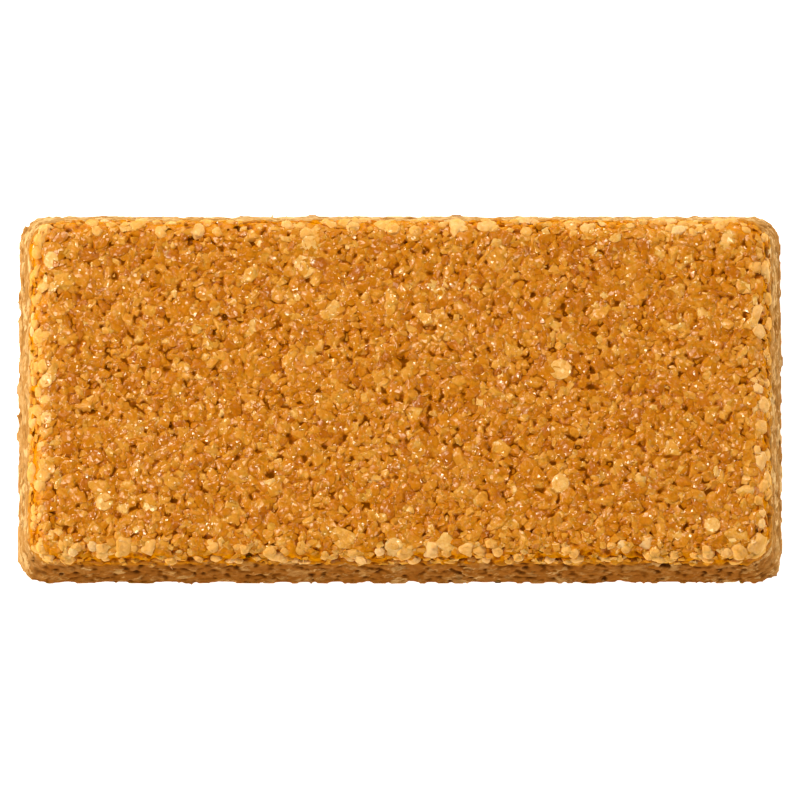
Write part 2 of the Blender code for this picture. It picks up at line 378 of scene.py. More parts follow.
def glazed_crust(name, coat, sheen, peanut_tones, syrup_shade_tones, rubbed_and_shaded_tones=(None, None)):
    """Roasted peanut, chopped, and bound under a thin glaze of set sugar.

    The cut flesh is waxy and lets light in a little way, so chips glow tan to cream. The syrup
    between them shows a strong orange, and nearly brown in the pits, where the brown is painted
    shade. The glaze over both gives a small sharp glint to each facet that faces up, but none in the
    hollows or where it is rubbed.

    The values on the corners are tint, the tone of the flesh; syrup, how far syrup covers it;
    hollow, how deep it lies between chips, which darkens the syrup as painted shade; and rubbed, how
    far it has the rubbed tones, which are dull and partly darkened as painted shade.
    """
    material, tree, shader = new_material(name, {
        "Roughness": 0.28,
        "IOR": 1.45,
        "Subsurface Weight": 0.3,
        "Subsurface Scale": 0.4 * MM,
        "Subsurface Radius": (1.0, 0.85, 0.7),
        "Coat Roughness": 0.14,
        "Coat IOR": 1.5,
    })
    place = add_node(tree, "ShaderNodeTexCoord")
    surface = add_node(tree, "ShaderNodeNewGeometry")
    tint, syrup, hollow_shade, rubbed_and_shaded = (add_node(tree, "ShaderNodeAttribute", {"attribute_name": label})
                                   for label in ("tint", "syrup", "hollow_shade", "rubbed_and_shaded"))

    flesh = add_node(tree, "ShaderNodeTexNoise", None,
                     {"Scale": 1.0 / FLESH_GRAIN, "Detail": 6.0, "Roughness": 0.8},
                     {"Vector": (place, "Object")})
    shifted = add_node(tree, "ShaderNodeMath", {"operation": "MULTIPLY_ADD"},
                       {1: FLESH_SHIFT, 2: -FLESH_SHIFT / 2}, {0: (flesh, "Fac")})
    toned = add_node(tree, "ShaderNodeMath", {"operation": "ADD", "use_clamp": True}, None,
                     {0: (tint, "Fac"), 1: (shifted, "Value")})

    # The syrup's tones darken the deeper a corner lies between chips: painted shade in creases and pits
    looks = []
    for tones, dull_shaded_tones, amount in ((peanut_tones, rubbed_and_shaded_tones[0], (toned, "Value")),
                                      (syrup_shade_tones, rubbed_and_shaded_tones[1], (hollow_shade, "Fac"))):
        bright = add_node(tree, "ShaderNodeValToRGB", None, None, {"Fac": amount})
        set_tones(bright, tones)
        look = (bright, "Color")
        # The rubbed tones are dull from the mould and darker as painted shade on the walls
        if dull_shaded_tones:
            dull_shaded = add_node(tree, "ShaderNodeValToRGB", None, None, {"Fac": amount})
            set_tones(dull_shaded, dull_shaded_tones)
            worn_and_shaded = add_node(tree, "ShaderNodeMix", {"data_type": "RGBA"}, None,
                            {0: (rubbed_and_shaded, "Fac"), 6: look, 7: (dull_shaded, "Color")})
            look = (worn_and_shaded, 2)
        looks.append(look)
    covered = add_node(tree, "ShaderNodeMix", {"data_type": "RGBA"}, None,
                       {0: (syrup, "Fac"), 6: looks[0], 7: looks[1]})
    tree.links.new(covered.outputs[2], shader.inputs["Base Color"])

    crystal = leaning_facets(tree, place, surface, CRYSTAL_SIZE, CRYSTAL_LEAN)
    tree.links.new(crystal.outputs["Vector"], shader.inputs["Coat Normal"])
    cut_face = leaning_facets(tree, place, surface, CUT_FACE_SIZE, CUT_FACE_LEAN)
    tree.links.new(cut_face.outputs["Vector"], shader.inputs["Normal"])

    matt = add_node(tree, "ShaderNodeMath", {"operation": "MAXIMUM"}, None,
                    {0: (hollow_shade, "Fac"), 1: (rubbed_and_shaded, "Fac")})
    for side, amount, gloss in (((crystal, "Vector"), coat, "Coat Weight"),
                                ((surface, "Normal"), sheen, "Specular IOR Level")):
        upright = add_node(tree, "ShaderNodeSeparateXYZ", None, None, {0: side})
        faces_up = add_node(tree, "ShaderNodeMath", {"operation": "MULTIPLY_ADD", "use_clamp": True},
                            {1: GLOSS_RISE, 2: -GLOSS_RISE * GLOSS_FROM}, {0: (upright, "Z")})
        left_over = add_node(tree, "ShaderNodeMath", {"operation": "MULTIPLY_ADD", "use_clamp": True},
                             {1: -GLOSS_LOSS * amount, 2: amount}, {0: (matt, "Value")})
        share = add_node(tree, "ShaderNodeMath", {"operation": "MULTIPLY"}, None,
                         {0: (faces_up, "Value"), 1: (left_over, "Value")})
        tree.links.new(share.outputs["Value"], shader.inputs[gloss])
    return material


def make_coats():
    """The material of the glaze, of the chips on the top, and of the chunks on the rim.

    Tones run from the darkest nut to the palest, and from thin syrup to the deepest, whose darker
    tones are painted shade in the creases and pits.
    """
    golden = ("A05000", "B46202", "CC7C06", "E09C3A", "F6C680")
    # Where the mould rubbed the walls, the nut is dull brown and the syrup umber. These darker tones are
    # partly painted shade on the walls, and the walls towards the lamps are painted paler again
    rubbed_and_shaded = (("5C3414", "7C4C20", "9A6832", "BE8C50", "E2B880"),
              ("9C5A1A", "7C4612", "5C300A", "3C1E06"))
    glaze = glazed_crust("roasted_peanut_glazed_on_top_and_rubbed_dull_on_the_walls", 0.35, 0.3,
                         golden, ("DC8800", "B46000", "904800", "683400"), rubbed_and_shaded)
    # Chips pressed to the face have the most glaze, so they glint most
    chips = glazed_crust("roasted_peanut_chips_at_the_face", 0.45, 0.3,
                         golden, ("D48400", "B06000", "904800", "683400"))
    # Chunks on the rim stand out of the syrup, so they look drier and paler
    rim = glazed_crust("roasted_peanut_chunks_on_the_rim", 0.3, 0.1,
                       ("AE5600", "CC7A08", "DE9830", "EEB264", "F6CC98"),
                       ("E88C00", "D07000", "A85000", "7A3400"))
    return {"chips": chips, "rim": rim, "glaze": glaze}


# Modelling by hand

def start_piece(add, name, **settings):
    """Add a primitive with everything else deselected, and name it."""
    if bpy.context.mode != "OBJECT":
        bpy.ops.object.mode_set(mode="OBJECT")
    bpy.ops.object.select_all(action="DESELECT")
    add(**settings)
    piece = bpy.context.object
    piece.name = name
    piece.data.name = name
    return piece


def pick(piece, kind, wanted):
    """In edit mode, select only the faces or edges whose ends pass the test."""
    bpy.ops.object.mode_set(mode="OBJECT")
    for layer in (piece.data.vertices, piece.data.edges, piece.data.polygons):
        layer.foreach_set("select", [False] * len(layer))
    points = piece.data.vertices
    for item in getattr(piece.data, kind):
        ends = [points[index].co for index in item.vertices]
        item.select = wanted(ends)
    bpy.ops.object.mode_set(mode="EDIT")
    bpy.ops.mesh.select_mode(type="EDGE" if kind == "edges" else "FACE")


def finish_with(piece, kind, **settings):
    """Add a modifier and apply it."""
    bpy.ops.object.select_all(action="DESELECT")
    piece.select_set(True)
    bpy.context.view_layer.objects.active = piece
    modifier = piece.modifiers.new(kind.title(), kind)
    for name, value in settings.items():
        setattr(modifier, name, value)
    bpy.ops.object.modifier_apply(modifier=modifier.name)


def read_corners(mesh):
    """The mesh's corners, one in a row."""
    corners = np.empty(len(mesh.vertices) * 3)
    mesh.vertices.foreach_get("co", corners)
    return corners.reshape(-1, 3)


def read_triangles(mesh):
    """The mesh's triangles, as the numbers of their corners."""
    mesh.calc_loop_triangles()
    triangles = np.empty(len(mesh.loop_triangles) * 3, dtype=np.int32)
    mesh.loop_triangles.foreach_get("vertices", triangles)
    return triangles.reshape(-1, 3)


def lift_mesh(piece):
    """A modelled piece's corners and triangles, and the piece is put away."""
    corners, faces = read_corners(piece.data), read_triangles(piece.data)
    bpy.data.objects.remove(piece, do_unlink=True)
    return corners, faces


def joined_mesh(name, corners, faces, values=None):
    """One piece from corners and triangles, with a value for each corner under each label."""
    mesh = bpy.data.meshes.new(name)
    mesh.vertices.add(len(corners))
    mesh.vertices.foreach_set("co", corners.astype(np.float32).reshape(-1))
    mesh.loops.add(len(faces) * 3)
    mesh.loops.foreach_set("vertex_index", faces.astype(np.int32).reshape(-1))
    mesh.polygons.add(len(faces))
    mesh.polygons.foreach_set("loop_start", np.arange(len(faces), dtype=np.int32) * 3)
    mesh.update(calc_edges=True)
    for label, numbers in (values or {}).items():
        layer = mesh.attributes.new(label, "FLOAT", "POINT")
        layer.data.foreach_set("value", numbers.astype(np.float32))
    piece = bpy.data.objects.new(name, mesh)
    bpy.context.scene.collection.objects.link(piece)
    bpy.ops.object.select_all(action="DESELECT")
    piece.select_set(True)
    bpy.context.view_layer.objects.active = piece
    bpy.ops.object.shade_smooth()
    return piece


def mould_form():
    """The inside of the mould: a block tapered to the top, its corners and top rim rounded."""
    almost_top = HEIGHT * 0.99
    form = start_piece(bpy.ops.mesh.primitive_cube_add, "mould_form", size=1.0,
                       location=(0, 0, HEIGHT / 2), scale=(LENGTH, WIDTH, HEIGHT))
    bpy.ops.object.transform_apply(location=True, rotation=True, scale=True)
    pick(form, "polygons", lambda ends: min(end.z for end in ends) > HEIGHT / 2)
    bpy.ops.transform.resize(value=(1 - 2 * TOP_INSET / LENGTH, 1 - 2 * TOP_INSET / WIDTH, 1.0),
                             center_override=(0, 0, HEIGHT))
    pick(form, "edges", lambda ends: abs(ends[0].z - ends[1].z) > HEIGHT / 2)
    bpy.ops.mesh.bevel(offset=CORNER_RADIUS, segments=CORNER_SEGMENTS, affect="EDGES")
    pick(form, "edges", lambda ends: min(end.z for end in ends) > almost_top)
    bpy.ops.mesh.bevel(offset=RIM_TANGENT, segments=RIM_SEGMENTS, affect="EDGES")
    bpy.ops.mesh.select_all(action="SELECT")
    bpy.ops.mesh.quads_convert_to_tris(quad_method="FIXED", ngon_method="CLIP")
    bpy.ops.object.mode_set(mode="OBJECT")
    return form


def pour_syrup(form):
    """The syrup: the mould form filled to a little under its face, wavy where it ran between chips."""
    syrup = form.copy()
    syrup.data = form.data.copy()
    syrup.name = "set_syrup"
    syrup.data.name = "set_syrup"
    bpy.context.scene.collection.objects.link(syrup)
    finish_with(syrup, "REMESH", mode="VOXEL", voxel_size=SYRUP_GRAIN)
    finish_with(syrup, "SMOOTH", iterations=3, factor=0.5)
    waves = bpy.data.textures.new("syrup_waves", "CLOUDS")
    waves.noise_scale = SYRUP_WAVE_SIZE
    waves.noise_depth = 3
    finish_with(syrup, "DISPLACE", texture=waves, strength=SYRUP_WAVE_HEIGHT,
                mid_level=SYRUP_WAVE_LEVEL, texture_coords="LOCAL")
    corners = press_to_mould(read_corners(syrup.data), -SYRUP_BELOW_FACE, SYRUP_GIVE)
    syrup.data.vertices.foreach_set("co", corners.reshape(-1))
    return lift_mesh(syrup)


def cut_piece(name, add, cuts, lean, bevel=0.0, bevel_above=0.0, **settings):
    """One chopped piece at unit half size: a primitive, cut flat from several sides, edges eased."""
    piece = start_piece(add, name, **settings)
    bpy.ops.object.mode_set(mode="EDIT")
    for number in range(cuts):
        around = (number + dice.uniform(-CUT_STRAY, CUT_STRAY)) * math.tau / cuts
        rise = dice.uniform(-lean, lean)
        facing = Vector((math.cos(around) * math.cos(rise), math.sin(around) * math.cos(rise),
                         math.sin(rise)))
        bpy.ops.mesh.select_all(action="SELECT")
        bpy.ops.mesh.bisect(plane_co=facing * dice.uniform(*CUT_DISTANCE), plane_no=facing,
                            use_fill=True, clear_outer=True)
    facing = Vector((dice.uniform(-TOP_CUT_LEAN, TOP_CUT_LEAN),
                     dice.uniform(-TOP_CUT_LEAN, TOP_CUT_LEAN), 1.0)).normalized()
    bpy.ops.mesh.select_all(action="SELECT")
    bpy.ops.mesh.bisect(plane_co=facing * TOP_CUT_DISTANCE, plane_no=facing, use_fill=True,
                        clear_outer=True)
    if bevel:
        pick(piece, "edges", lambda ends: min(end.z for end in ends) > bevel_above)
        bpy.ops.mesh.bevel(offset=bevel, segments=1, affect="EDGES")
    bpy.ops.mesh.select_all(action="SELECT")
    bpy.ops.mesh.remove_doubles(threshold=MERGE_DISTANCE)
    bpy.ops.mesh.normals_make_consistent(inside=False)
    bpy.ops.mesh.quads_convert_to_tris()
    bpy.ops.object.mode_set(mode="OBJECT")
    return lift_mesh(piece)


def cut_chopped_shapes():
    """The shapes of chips, some of them split nuts, of chunks and of crumbs."""
    cube, can = bpy.ops.mesh.primitive_cube_add, bpy.ops.mesh.primitive_cylinder_add
    ball = bpy.ops.mesh.primitive_ico_sphere_add
    chips = [cut_piece(f"chip_{number}", cube, cuts=5, lean=0.5, bevel=0.13, bevel_above=0.3, size=2.0)
             for number in range(CHIP_SHAPES)]
    chips += [cut_piece(f"split_{number}", can, cuts=3, lean=0.4, bevel=0.13, bevel_above=0.3,
                        vertices=6 + number % 3, radius=1.0, depth=2.0)
              for number in range(SPLIT_SHAPES)]
    chunks = [cut_piece(f"chunk_{number}", ball, cuts=4, lean=0.5, bevel=0.14, bevel_above=0.2,
                        subdivisions=1, radius=1.1)
              for number in range(CHUNK_SHAPES)]
    crumbs = [cut_piece(f"crumb_{number}", cube, cuts=4, lean=0.6, size=2.0)
              for number in range(CRUMB_SHAPES)]
    return {"chip": chips, "chunk": chunks, "crumb": crumbs}


def cut_lump_shapes():
    """The shapes of the lumps along the rim, rounder than the chips."""
    return [cut_piece(f"lump_{number}", bpy.ops.mesh.primitive_ico_sphere_add, cuts=5, lean=0.55,
                      bevel=0.10, bevel_above=0.2, subdivisions=2, radius=1.0)
            for number in range(LUMP_SHAPES)]


def bent_piece(name, thickness, keep_above):
    """A bent piece at unit half size: a ring cut straight across, so that one part of it is left."""
    piece = start_piece(bpy.ops.mesh.primitive_torus_add, name, major_segments=14, minor_segments=6,
                        major_radius=1.0 - thickness, minor_radius=thickness)
    bpy.ops.object.mode_set(mode="EDIT")
    bpy.ops.mesh.select_all(action="SELECT")
    bpy.ops.mesh.bisect(plane_co=(0, keep_above, 0), plane_no=(RING_CUT_SLANT, -1, 0),
                        use_fill=True, clear_outer=True)
    bpy.ops.mesh.select_all(action="SELECT")
    bpy.ops.transform.translate(value=(0, -(1.0 + keep_above) / 2, 0))
    bpy.ops.transform.resize(value=(1.0, 2.0 / (1.0 - keep_above), 1.0 / thickness),
                             center_override=(0, 0, 0))
    bpy.ops.mesh.quads_convert_to_tris()
    bpy.ops.object.mode_set(mode="OBJECT")
    return lift_mesh(piece)


def round_piece(name, sides):
    """A short plug cut from a nut: a many-sided disc with its top edge eased."""
    piece = start_piece(bpy.ops.mesh.primitive_cylinder_add, name, vertices=sides, radius=1.0, depth=2.0)
    pick(piece, "polygons", lambda ends: min(end.z for end in ends) > 0.5)
    bpy.ops.mesh.inset(thickness=0.3, depth=0.25)
    bpy.ops.mesh.select_all(action="SELECT")
    bpy.ops.mesh.quads_convert_to_tris()
    bpy.ops.object.mode_set(mode="OBJECT")
    return lift_mesh(piece)


# Places on the mould

def mould_faces(form):
    """Corners, unit normals and areas of the mould form's triangles, in the order of their middles."""
    mesh = form.data
    corners = np.array([[mesh.vertices[index].co[:] for index in face.vertices] for face in mesh.polygons])
    cross = np.cross(corners[:, 1] - corners[:, 0], corners[:, 2] - corners[:, 0])
    size = np.linalg.norm(cross, axis=1)
    middles = np.round(corners.mean(axis=1) / ORDER_STEP)
    order = np.lexsort(middles.T)
    return corners[order], (cross / size[:, None])[order], (size / 2)[order]


def crowded(grid, home, point, radius):
    """Whether a piece in this cell of the grid, or in one next to it, is too close to the place."""
    for dx, dy, dz in itertools.product((-1, 0, 1), repeat=3):
        for other, other_radius in grid.get((home[0] + dx, home[1] + dy, home[2] + dz), ()):
            gap = SPACING * (radius + other_radius)
            if ((point[0] - other[0]) ** 2 + (point[1] - other[1]) ** 2
                    + (point[2] - other[2]) ** 2) < gap * gap:
                return True
    return False


def spread_places(form):
    """Places for chips all over the mould face, largest first, none crowding another.

    Returns arrays of position, normal and half size.
    """
    corners, normals, areas = mould_faces(form)
    cell = 2.0 * CHOP_SIZES[0][0] * MM
    grid = {}
    kept = []
    for half_size, tries in CHOP_SIZES:
        radius = half_size * MM
        faces = rng.choice(len(areas), size=tries, p=areas / areas.sum())
        first, second = rng.random(tries), rng.random(tries)
        over = first + second > 1.0
        first[over], second[over] = 1.0 - first[over], 1.0 - second[over]
        tri = corners[faces]
        points = (tri[:, 0] + first[:, None] * (tri[:, 1] - tri[:, 0])
                  + second[:, None] * (tri[:, 2] - tri[:, 0]))
        for point, face in zip(points, faces):
            home = tuple(int(part // cell) for part in point)
            if not crowded(grid, home, point, radius):
                grid.setdefault(home, []).append((point, radius))
                kept.append((point, normals[face], radius))
    return tuple(np.array(column) for column in zip(*kept))


def mould_distance(points):
    """How far points stand outside the mould face, rim rounding included; negative is inside."""
    x, y, z = np.abs(points[..., 0]), np.abs(points[..., 1]), points[..., 2]
    inset = z * math.tan(WALL_DRAFT) + CORNER_RADIUS
    across = x - (LENGTH / 2 - inset)
    along = y - (WIDTH / 2 - inset)
    corner = np.hypot(np.maximum(across, 0.0), np.maximum(along, 0.0))
    wall = (corner + np.minimum(np.maximum(across, along), 0.0) - CORNER_RADIUS) * math.cos(WALL_DRAFT)
    top = z - HEIGHT
    near_wall, near_top = wall + RIM_RADIUS, top + RIM_RADIUS
    rounded = np.hypot(np.maximum(near_wall, 0.0), np.maximum(near_top, 0.0)) - RIM_RADIUS
    return np.where((near_wall > 0) & (near_top > 0), rounded, np.maximum(wall, top))


def press_to_mould(points, proud, give):
    """Points beyond the mould face by more than they may stand proud are pressed back to it."""
    for _ in range(PRESS_ROUNDS):
        excess = np.maximum(mould_distance(points) - proud, 0.0) * (1.0 - give)
        slope = np.stack([mould_distance(points + np.eye(3)[axis] * PRESS_STEP)
                          - mould_distance(points - np.eye(3)[axis] * PRESS_STEP)
                          for axis in range(3)], axis=-1)
        slope /= np.maximum(np.linalg.norm(slope, axis=-1, keepdims=True), 1e-9)
        points = points - slope * excess[..., None]
    points[..., 2] = np.maximum(points[..., 2], 0.0)
    return points


def nearness_to_rim(points, width):
    """1 at the foot of the rim's rounding and beyond it, falling to 0 this far in from it."""
    x, y, z = np.abs(points[..., 0]), np.abs(points[..., 1]), points[..., 2]
    inset = z * math.tan(WALL_DRAFT) + RIM_RADIUS * RIM_FOOT
    outside = np.maximum(x - (LENGTH / 2 - inset), y - (WIDTH / 2 - inset))
    return np.clip(1.0 + outside / width, 0.0, 1.0)


def burial(points, from_depth, to_depth):
    """0 near the face of the bar, rising to 1 where the points lie deep between the chips."""
    depth = -np.maximum(mould_distance(points), -points[..., 2])
    return np.clip((depth - from_depth) / (to_depth - from_depth), 0.0, 1.0)


def painted_wall_light(points):
    """How much paler than the front wall, which lies in shade, the walls towards the lamps are painted at
    these points: painted light.
    """
    x, y, z = points[..., 0], points[..., 1], points[..., 2]
    inset = z * math.tan(WALL_DRAFT)
    outside = {"left": -x - (LENGTH / 2 - inset), "right": x - (LENGTH / 2 - inset),
               "back": y - (WIDTH / 2 - inset)}
    painted_paleness = np.zeros_like(x)
    for side, distance in outside.items():
        near = np.clip(1.0 + distance / CORNER_RADIUS, 0.0, 1.0)
        painted_paleness = np.maximum(painted_paleness, PAINTED_WALL_LIGHT[side] * near)
    return painted_paleness * np.clip(0.5 - (z - WALL_TOP) / RIM_FADE, 0.0, 1.0)


# Laying the chips

def tumbled(shapes, tilt, heading):
    """Each shape tilted by its own angle about its own level axis."""
    axis = np.stack([np.cos(heading), np.sin(heading), np.zeros_like(heading)], axis=1)[:, None, :]
    cos, sin = np.cos(tilt)[:, None, None], np.sin(tilt)[:, None, None]
    along = (shapes * axis).sum(axis=2, keepdims=True)
    across = np.cross(np.broadcast_to(axis, shapes.shape), shapes)
    return shapes * cos + across * sin + axis * along * (1 - cos)


def lay_chips(shapes, points, normals, sizes, look):
    """Copies of the shapes, each turned, sized and pressed to the mould face.

    Returns their corners, their triangles and a tone for each triangle.
    """
    count = len(points)
    kinds = rng.integers(0, len(shapes), count)
    sink = sizes * look["sink"] + rng.normal(0, look["uneven"] * MM, count)
    proud = look["proud"] * MM + np.abs(rng.normal(0, PROUD_SPREAD, count))
    tint = np.clip(rng.normal(look["tint"][0], look["tint"][1], count), 0.0, 1.0)
    all_corners, all_faces, all_tint = [], [], []
    offset = 0
    for kind, (corners, faces) in enumerate(shapes):
        chosen = np.nonzero(kinds == kind)[0]
        if not len(chosen):
            continue
        number = len(chosen)
        out = normals[chosen]
        side = np.cross(np.array([0.0, 0.0, 1.0]), out)
        flat = np.linalg.norm(side, axis=1) < LEVEL_LINE
        side[flat] = np.array([1.0, 0.0, 0.0])
        side -= (side * out).sum(axis=1)[:, None] * out
        side /= np.linalg.norm(side, axis=1)[:, None]
        front = np.cross(out, side)
        lengthwise = rng.normal(0, ALONG_WALL_SPREAD, number) + math.pi * rng.integers(0, 2, number)
        turn = np.where(flat, rng.uniform(0, math.tau, number), lengthwise)
        cos, sin = np.cos(turn)[:, None], np.sin(turn)[:, None]
        along, across = side * cos + front * sin, front * cos - side * sin
        spread = rng.uniform(*SIZE_SPREAD, (number, 3)) * np.array(look["half_sizes"])
        local = corners[None, :, :] * (spread * sizes[chosen][:, None])[:, None, :]
        local = tumbled(local, rng.normal(0, look["lean"], number), rng.uniform(0, math.tau, number))
        local[:, :, 2] -= sink[chosen][:, None]
        placed = (points[chosen][:, None, :] + local[:, :, :1] * along[:, None, :]
                  + local[:, :, 1:2] * across[:, None, :] + local[:, :, 2:] * out[:, None, :])
        placed = press_to_mould(placed, proud[chosen][:, None], look["give"])
        steps = (np.arange(number) * len(corners))[:, None, None] + offset
        all_corners.append(placed.reshape(-1, 3))
        all_faces.append((faces[None] + steps).reshape(-1, 3))
        all_tint.append(np.repeat(tint[chosen], len(faces)))
        offset += number * len(corners)
    return np.concatenate(all_corners), np.concatenate(all_faces), np.concatenate(all_tint)


def set_down(shape, tilt, heading, turn, middle):
    """One shape tilted about a level line, turned round, and set with its middle at this place."""
    tilted = tumbled(shape[None], np.array([tilt]), np.array([heading]))[0]
    cos, sin = math.cos(turn), math.sin(turn)
    return np.stack([tilted[:, 0] * cos - tilted[:, 1] * sin + middle[0],
                     tilted[:, 0] * sin + tilted[:, 1] * cos + middle[1],
                     tilted[:, 2] + middle[2]], axis=1)


def lay_pale_pieces(shapes):
    """The larger pale pieces, each lying a little proud of the top."""
    all_corners, all_faces, start = [], [], 0
    for kind, x, y, length, width, turn in PALE_PIECES:
        corners, faces = shapes[kind]
        shape = corners * np.array([length, width, PALE_DEPTH]) * (0.5 * MM)
        tilt, heading = dice.uniform(-PALE_TILT, PALE_TILT), dice.uniform(0, TILT_HEADINGS)
        middle = (x * MM, y * MM, HEIGHT - PALE_SINK * PALE_DEPTH * MM)
        placed = set_down(shape, tilt, heading, math.radians(turn), middle)
        all_corners.append(press_to_mould(placed, PALE_PROUD, PALE_GIVE))
        all_faces.append(faces + start)
        start += len(corners)
    faces = np.concatenate(all_faces)
    return np.concatenate(all_corners), faces, np.full(len(faces), PALE_TONE)


def rim_line():
    """Places along the rim, and the way out from each."""
    inset = TOP_INSET + RIM_RADIUS * LUMP_LINE_INSET
    radius = CORNER_RADIUS - RIM_RADIUS * LUMP_LINE_TURN
    half_x, half_y = LENGTH / 2 - inset - radius, WIDTH / 2 - inset - radius
    quarter = math.pi / 2 * radius
    sides = ((half_x, -half_y, 2 * half_y), (half_x, half_y, 2 * half_x),
             (-half_x, half_y, 2 * half_y), (-half_x, -half_y, 2 * half_x))
    places, travelled = [], 0.0
    for number, (start_x, start_y, run) in enumerate(sides):
        heading = number * math.pi / 2
        ahead = np.array([-math.sin(heading), math.cos(heading)])
        while travelled < run + quarter:
            turn = heading + max(0.0, travelled - run) / radius
            out = np.array([math.cos(turn), math.sin(turn)])
            middle = np.array([start_x, start_y]) + ahead * min(travelled, run)
            places.append((middle + out * radius, out))
            travelled += LUMP_SPACING * dice.uniform(*LUMP_SPACING_RANGE)
        travelled -= run + quarter
    return places


def lay_rim_lumps(shapes):
    """The row of pale lumps along the rim. They lie under the glaze."""
    all_corners, all_faces, all_tones, start = [], [], [], 0
    for place, out in rim_line():
        corners, faces = dice.choice(shapes)
        size = dice.uniform(*LUMP_SIZES)
        shape = corners * size * np.array([dice.uniform(*stretch) for stretch in LUMP_STRETCH])
        tilt, heading = dice.gauss(0, LUMP_TILT), dice.uniform(0, TILT_HEADINGS)
        turn = dice.uniform(0, math.tau)
        off = dice.gauss(0, LUMP_OFF_LINE)
        height = HEIGHT - LUMP_SINK * size - dice.uniform(0.0, LUMP_SINK_MORE) * MM
        middle = (place[0] + out[0] * off, place[1] + out[1] * off, height)
        placed = set_down(shape, tilt, heading, turn, middle)
        all_corners.append(press_to_mould(placed, LUMP_PROUD, LUMP_GIVE))
        all_faces.append(faces + start)
        all_tones.append(np.full(len(faces), np.clip(dice.gauss(*LUMP_TONE), LUMP_LEAST_TONE, 1.0)))
        start += len(corners)
    return np.concatenate(all_corners), np.concatenate(all_faces), np.concatenate(all_tones)


def lay_peanuts(points, normals, sizes):
    """Every region's chips, the pale pieces and the lumps, each as corners, triangles and tones."""
    facing = normals[:, 2]
    small = sizes < CRUMB_SIZE
    upper = points[:, 2] > WALL_TOP
    regions = {
        "pressed_chips": (facing > TOP_FACING) & ~small,
        "rim_chunks": (facing <= TOP_FACING) & upper & ~small,
        "wall_flakes": (facing > UNDERSIDE_FACING) & ~upper & ~small,
        "underside_chips": (facing <= UNDERSIDE_FACING) & ~small,
        "crumbs": small,
    }
    shapes = cut_chopped_shapes()
    laid = {}
    for name, here in regions.items():
        look = CHIP_LOOKS[name]
        laid[name] = lay_chips(shapes[look["shape"]], points[here], normals[here], sizes[here], look)
    laid["pale_pieces"] = lay_pale_pieces({
        "disc": round_piece("disc", DISC_SIDES),
        "chip": shapes["chip"][PALE_CHIP_SHAPE],
        "hook": bent_piece("hook", HOOK_THICKNESS, HOOK_KEPT_ABOVE),
        "bean": bent_piece("bean", BEAN_THICKNESS, BEAN_KEPT_ABOVE),
    })
    laid["rim_lumps"] = lay_rim_lumps(cut_lump_shapes())
    return laid


# The glaze

def glazed_over(chips, syrup):
    """Chips and syrup run together under one glaze; returns its corners and triangles."""
    whole = joined_mesh("glaze", *chips)
    poured = joined_mesh("poured", *syrup)
    bpy.ops.object.select_all(action="DESELECT")
    poured.select_set(True)
    whole.select_set(True)
    bpy.context.view_layer.objects.active = whole
    bpy.ops.object.join()
    finish_with(whole, "REMESH", mode="VOXEL", voxel_size=GLAZE_GRAIN)
    finish_with(whole, "SMOOTH", iterations=1, factor=GLAZE_EVENING)
    patches = bpy.data.textures.new("glaze_patches", "CLOUDS")
    patches.noise_scale = GLAZE_PATCH_SIZE
    patches.noise_depth = 2
    finish_with(whole, "DISPLACE", texture=patches, strength=2 * GLAZE_PATCHES,
                mid_level=0.5 + GLAZE_THIN / (2 * GLAZE_PATCHES), texture_coords="LOCAL")
    return lift_mesh(whole)


def neighbour_mean(values, edges, count):
    """For each corner, the mean value of the corners one edge away."""
    total = np.zeros_like(values)
    np.add.at(total, edges[:, 0], values[edges[:, 1]])
    np.add.at(total, edges[:, 1], values[edges[:, 0]])
    return total / np.maximum(count, 1)[:, None]


def corner_normals(corners, faces):
    """The unit normal at each corner."""
    first, second, third = (corners[faces[:, column]] for column in range(3))
    cross = np.cross(second - first, third - first)
    normals = np.zeros_like(corners)
    for column in range(3):
        np.add.at(normals, faces[:, column], cross)
    return normals / np.maximum(np.linalg.norm(normals, axis=1, keepdims=True), 1e-12)


def hollowness(corners, faces):
    """0 on the humps and 1 in the creases between chips, which sets how far syrup covers them and how
    dark their painted shade is.
    """
    pairs = np.concatenate([faces[:, [0, 1]], faces[:, [1, 2]], faces[:, [2, 0]]])
    edges = np.unique(np.sort(pairs, axis=1), axis=0)
    count = np.bincount(edges.reshape(-1), minlength=len(corners))
    smooth = corners
    for _ in range(CREASE_REACH):
        smooth = neighbour_mean(smooth, edges, count)
    rise = ((smooth - corners) * corner_normals(corners, faces)).sum(axis=1)
    crease = np.clip(rise / CREASE_DEPTH, 0.0, 1.0)
    return neighbour_mean(crease[:, None], edges, count)[:, 0] * 0.5 + crease * 0.5


def sink_pinholes(corners, places, normals):
    """Small round pits pushed into the glaze."""
    tree = KDTree(len(corners))
    for index, corner in enumerate(corners):
        tree.insert(corner, index)
    tree.balance()
    for place, normal in zip(places, normals):
        radius, depth = dice.uniform(*PINHOLE_RADIUS), dice.uniform(*PINHOLE_DEPTH)
        for _, index, distance in tree.find_range(place, radius):
            corners[index] -= normal * depth * max(0.0, 1.0 - (distance / radius) ** 2)


def nearest_source(corners, chips, syrup, tint):
    """For each corner, the tone of the chip under it, and 1 where syrup lies under it instead."""
    joined_corners = np.concatenate([chips[0], syrup[0]])
    joined_faces = np.concatenate([chips[1], syrup[1] + len(chips[0])])
    tree = BVHTree.FromPolygons(joined_corners.tolist(), joined_faces.tolist(), all_triangles=True)
    tones = np.append(tint, -1.0)
    found = np.array([tree.find_nearest(corner)[2] for corner in corners.tolist()])
    tone = tones[np.minimum(found, len(tint))]
    return np.where(tone < 0, 0.5, tone), (tone < 0).astype(float)


def only_used(corners, faces):
    """The corners that the triangles use, the triangles renumbered to them, and which they were."""
    used = np.unique(faces)
    renumbered = np.full(len(corners), -1)
    renumbered[used] = np.arange(len(used))
    return corners[used], renumbered[faces], used


# The bar's pieces

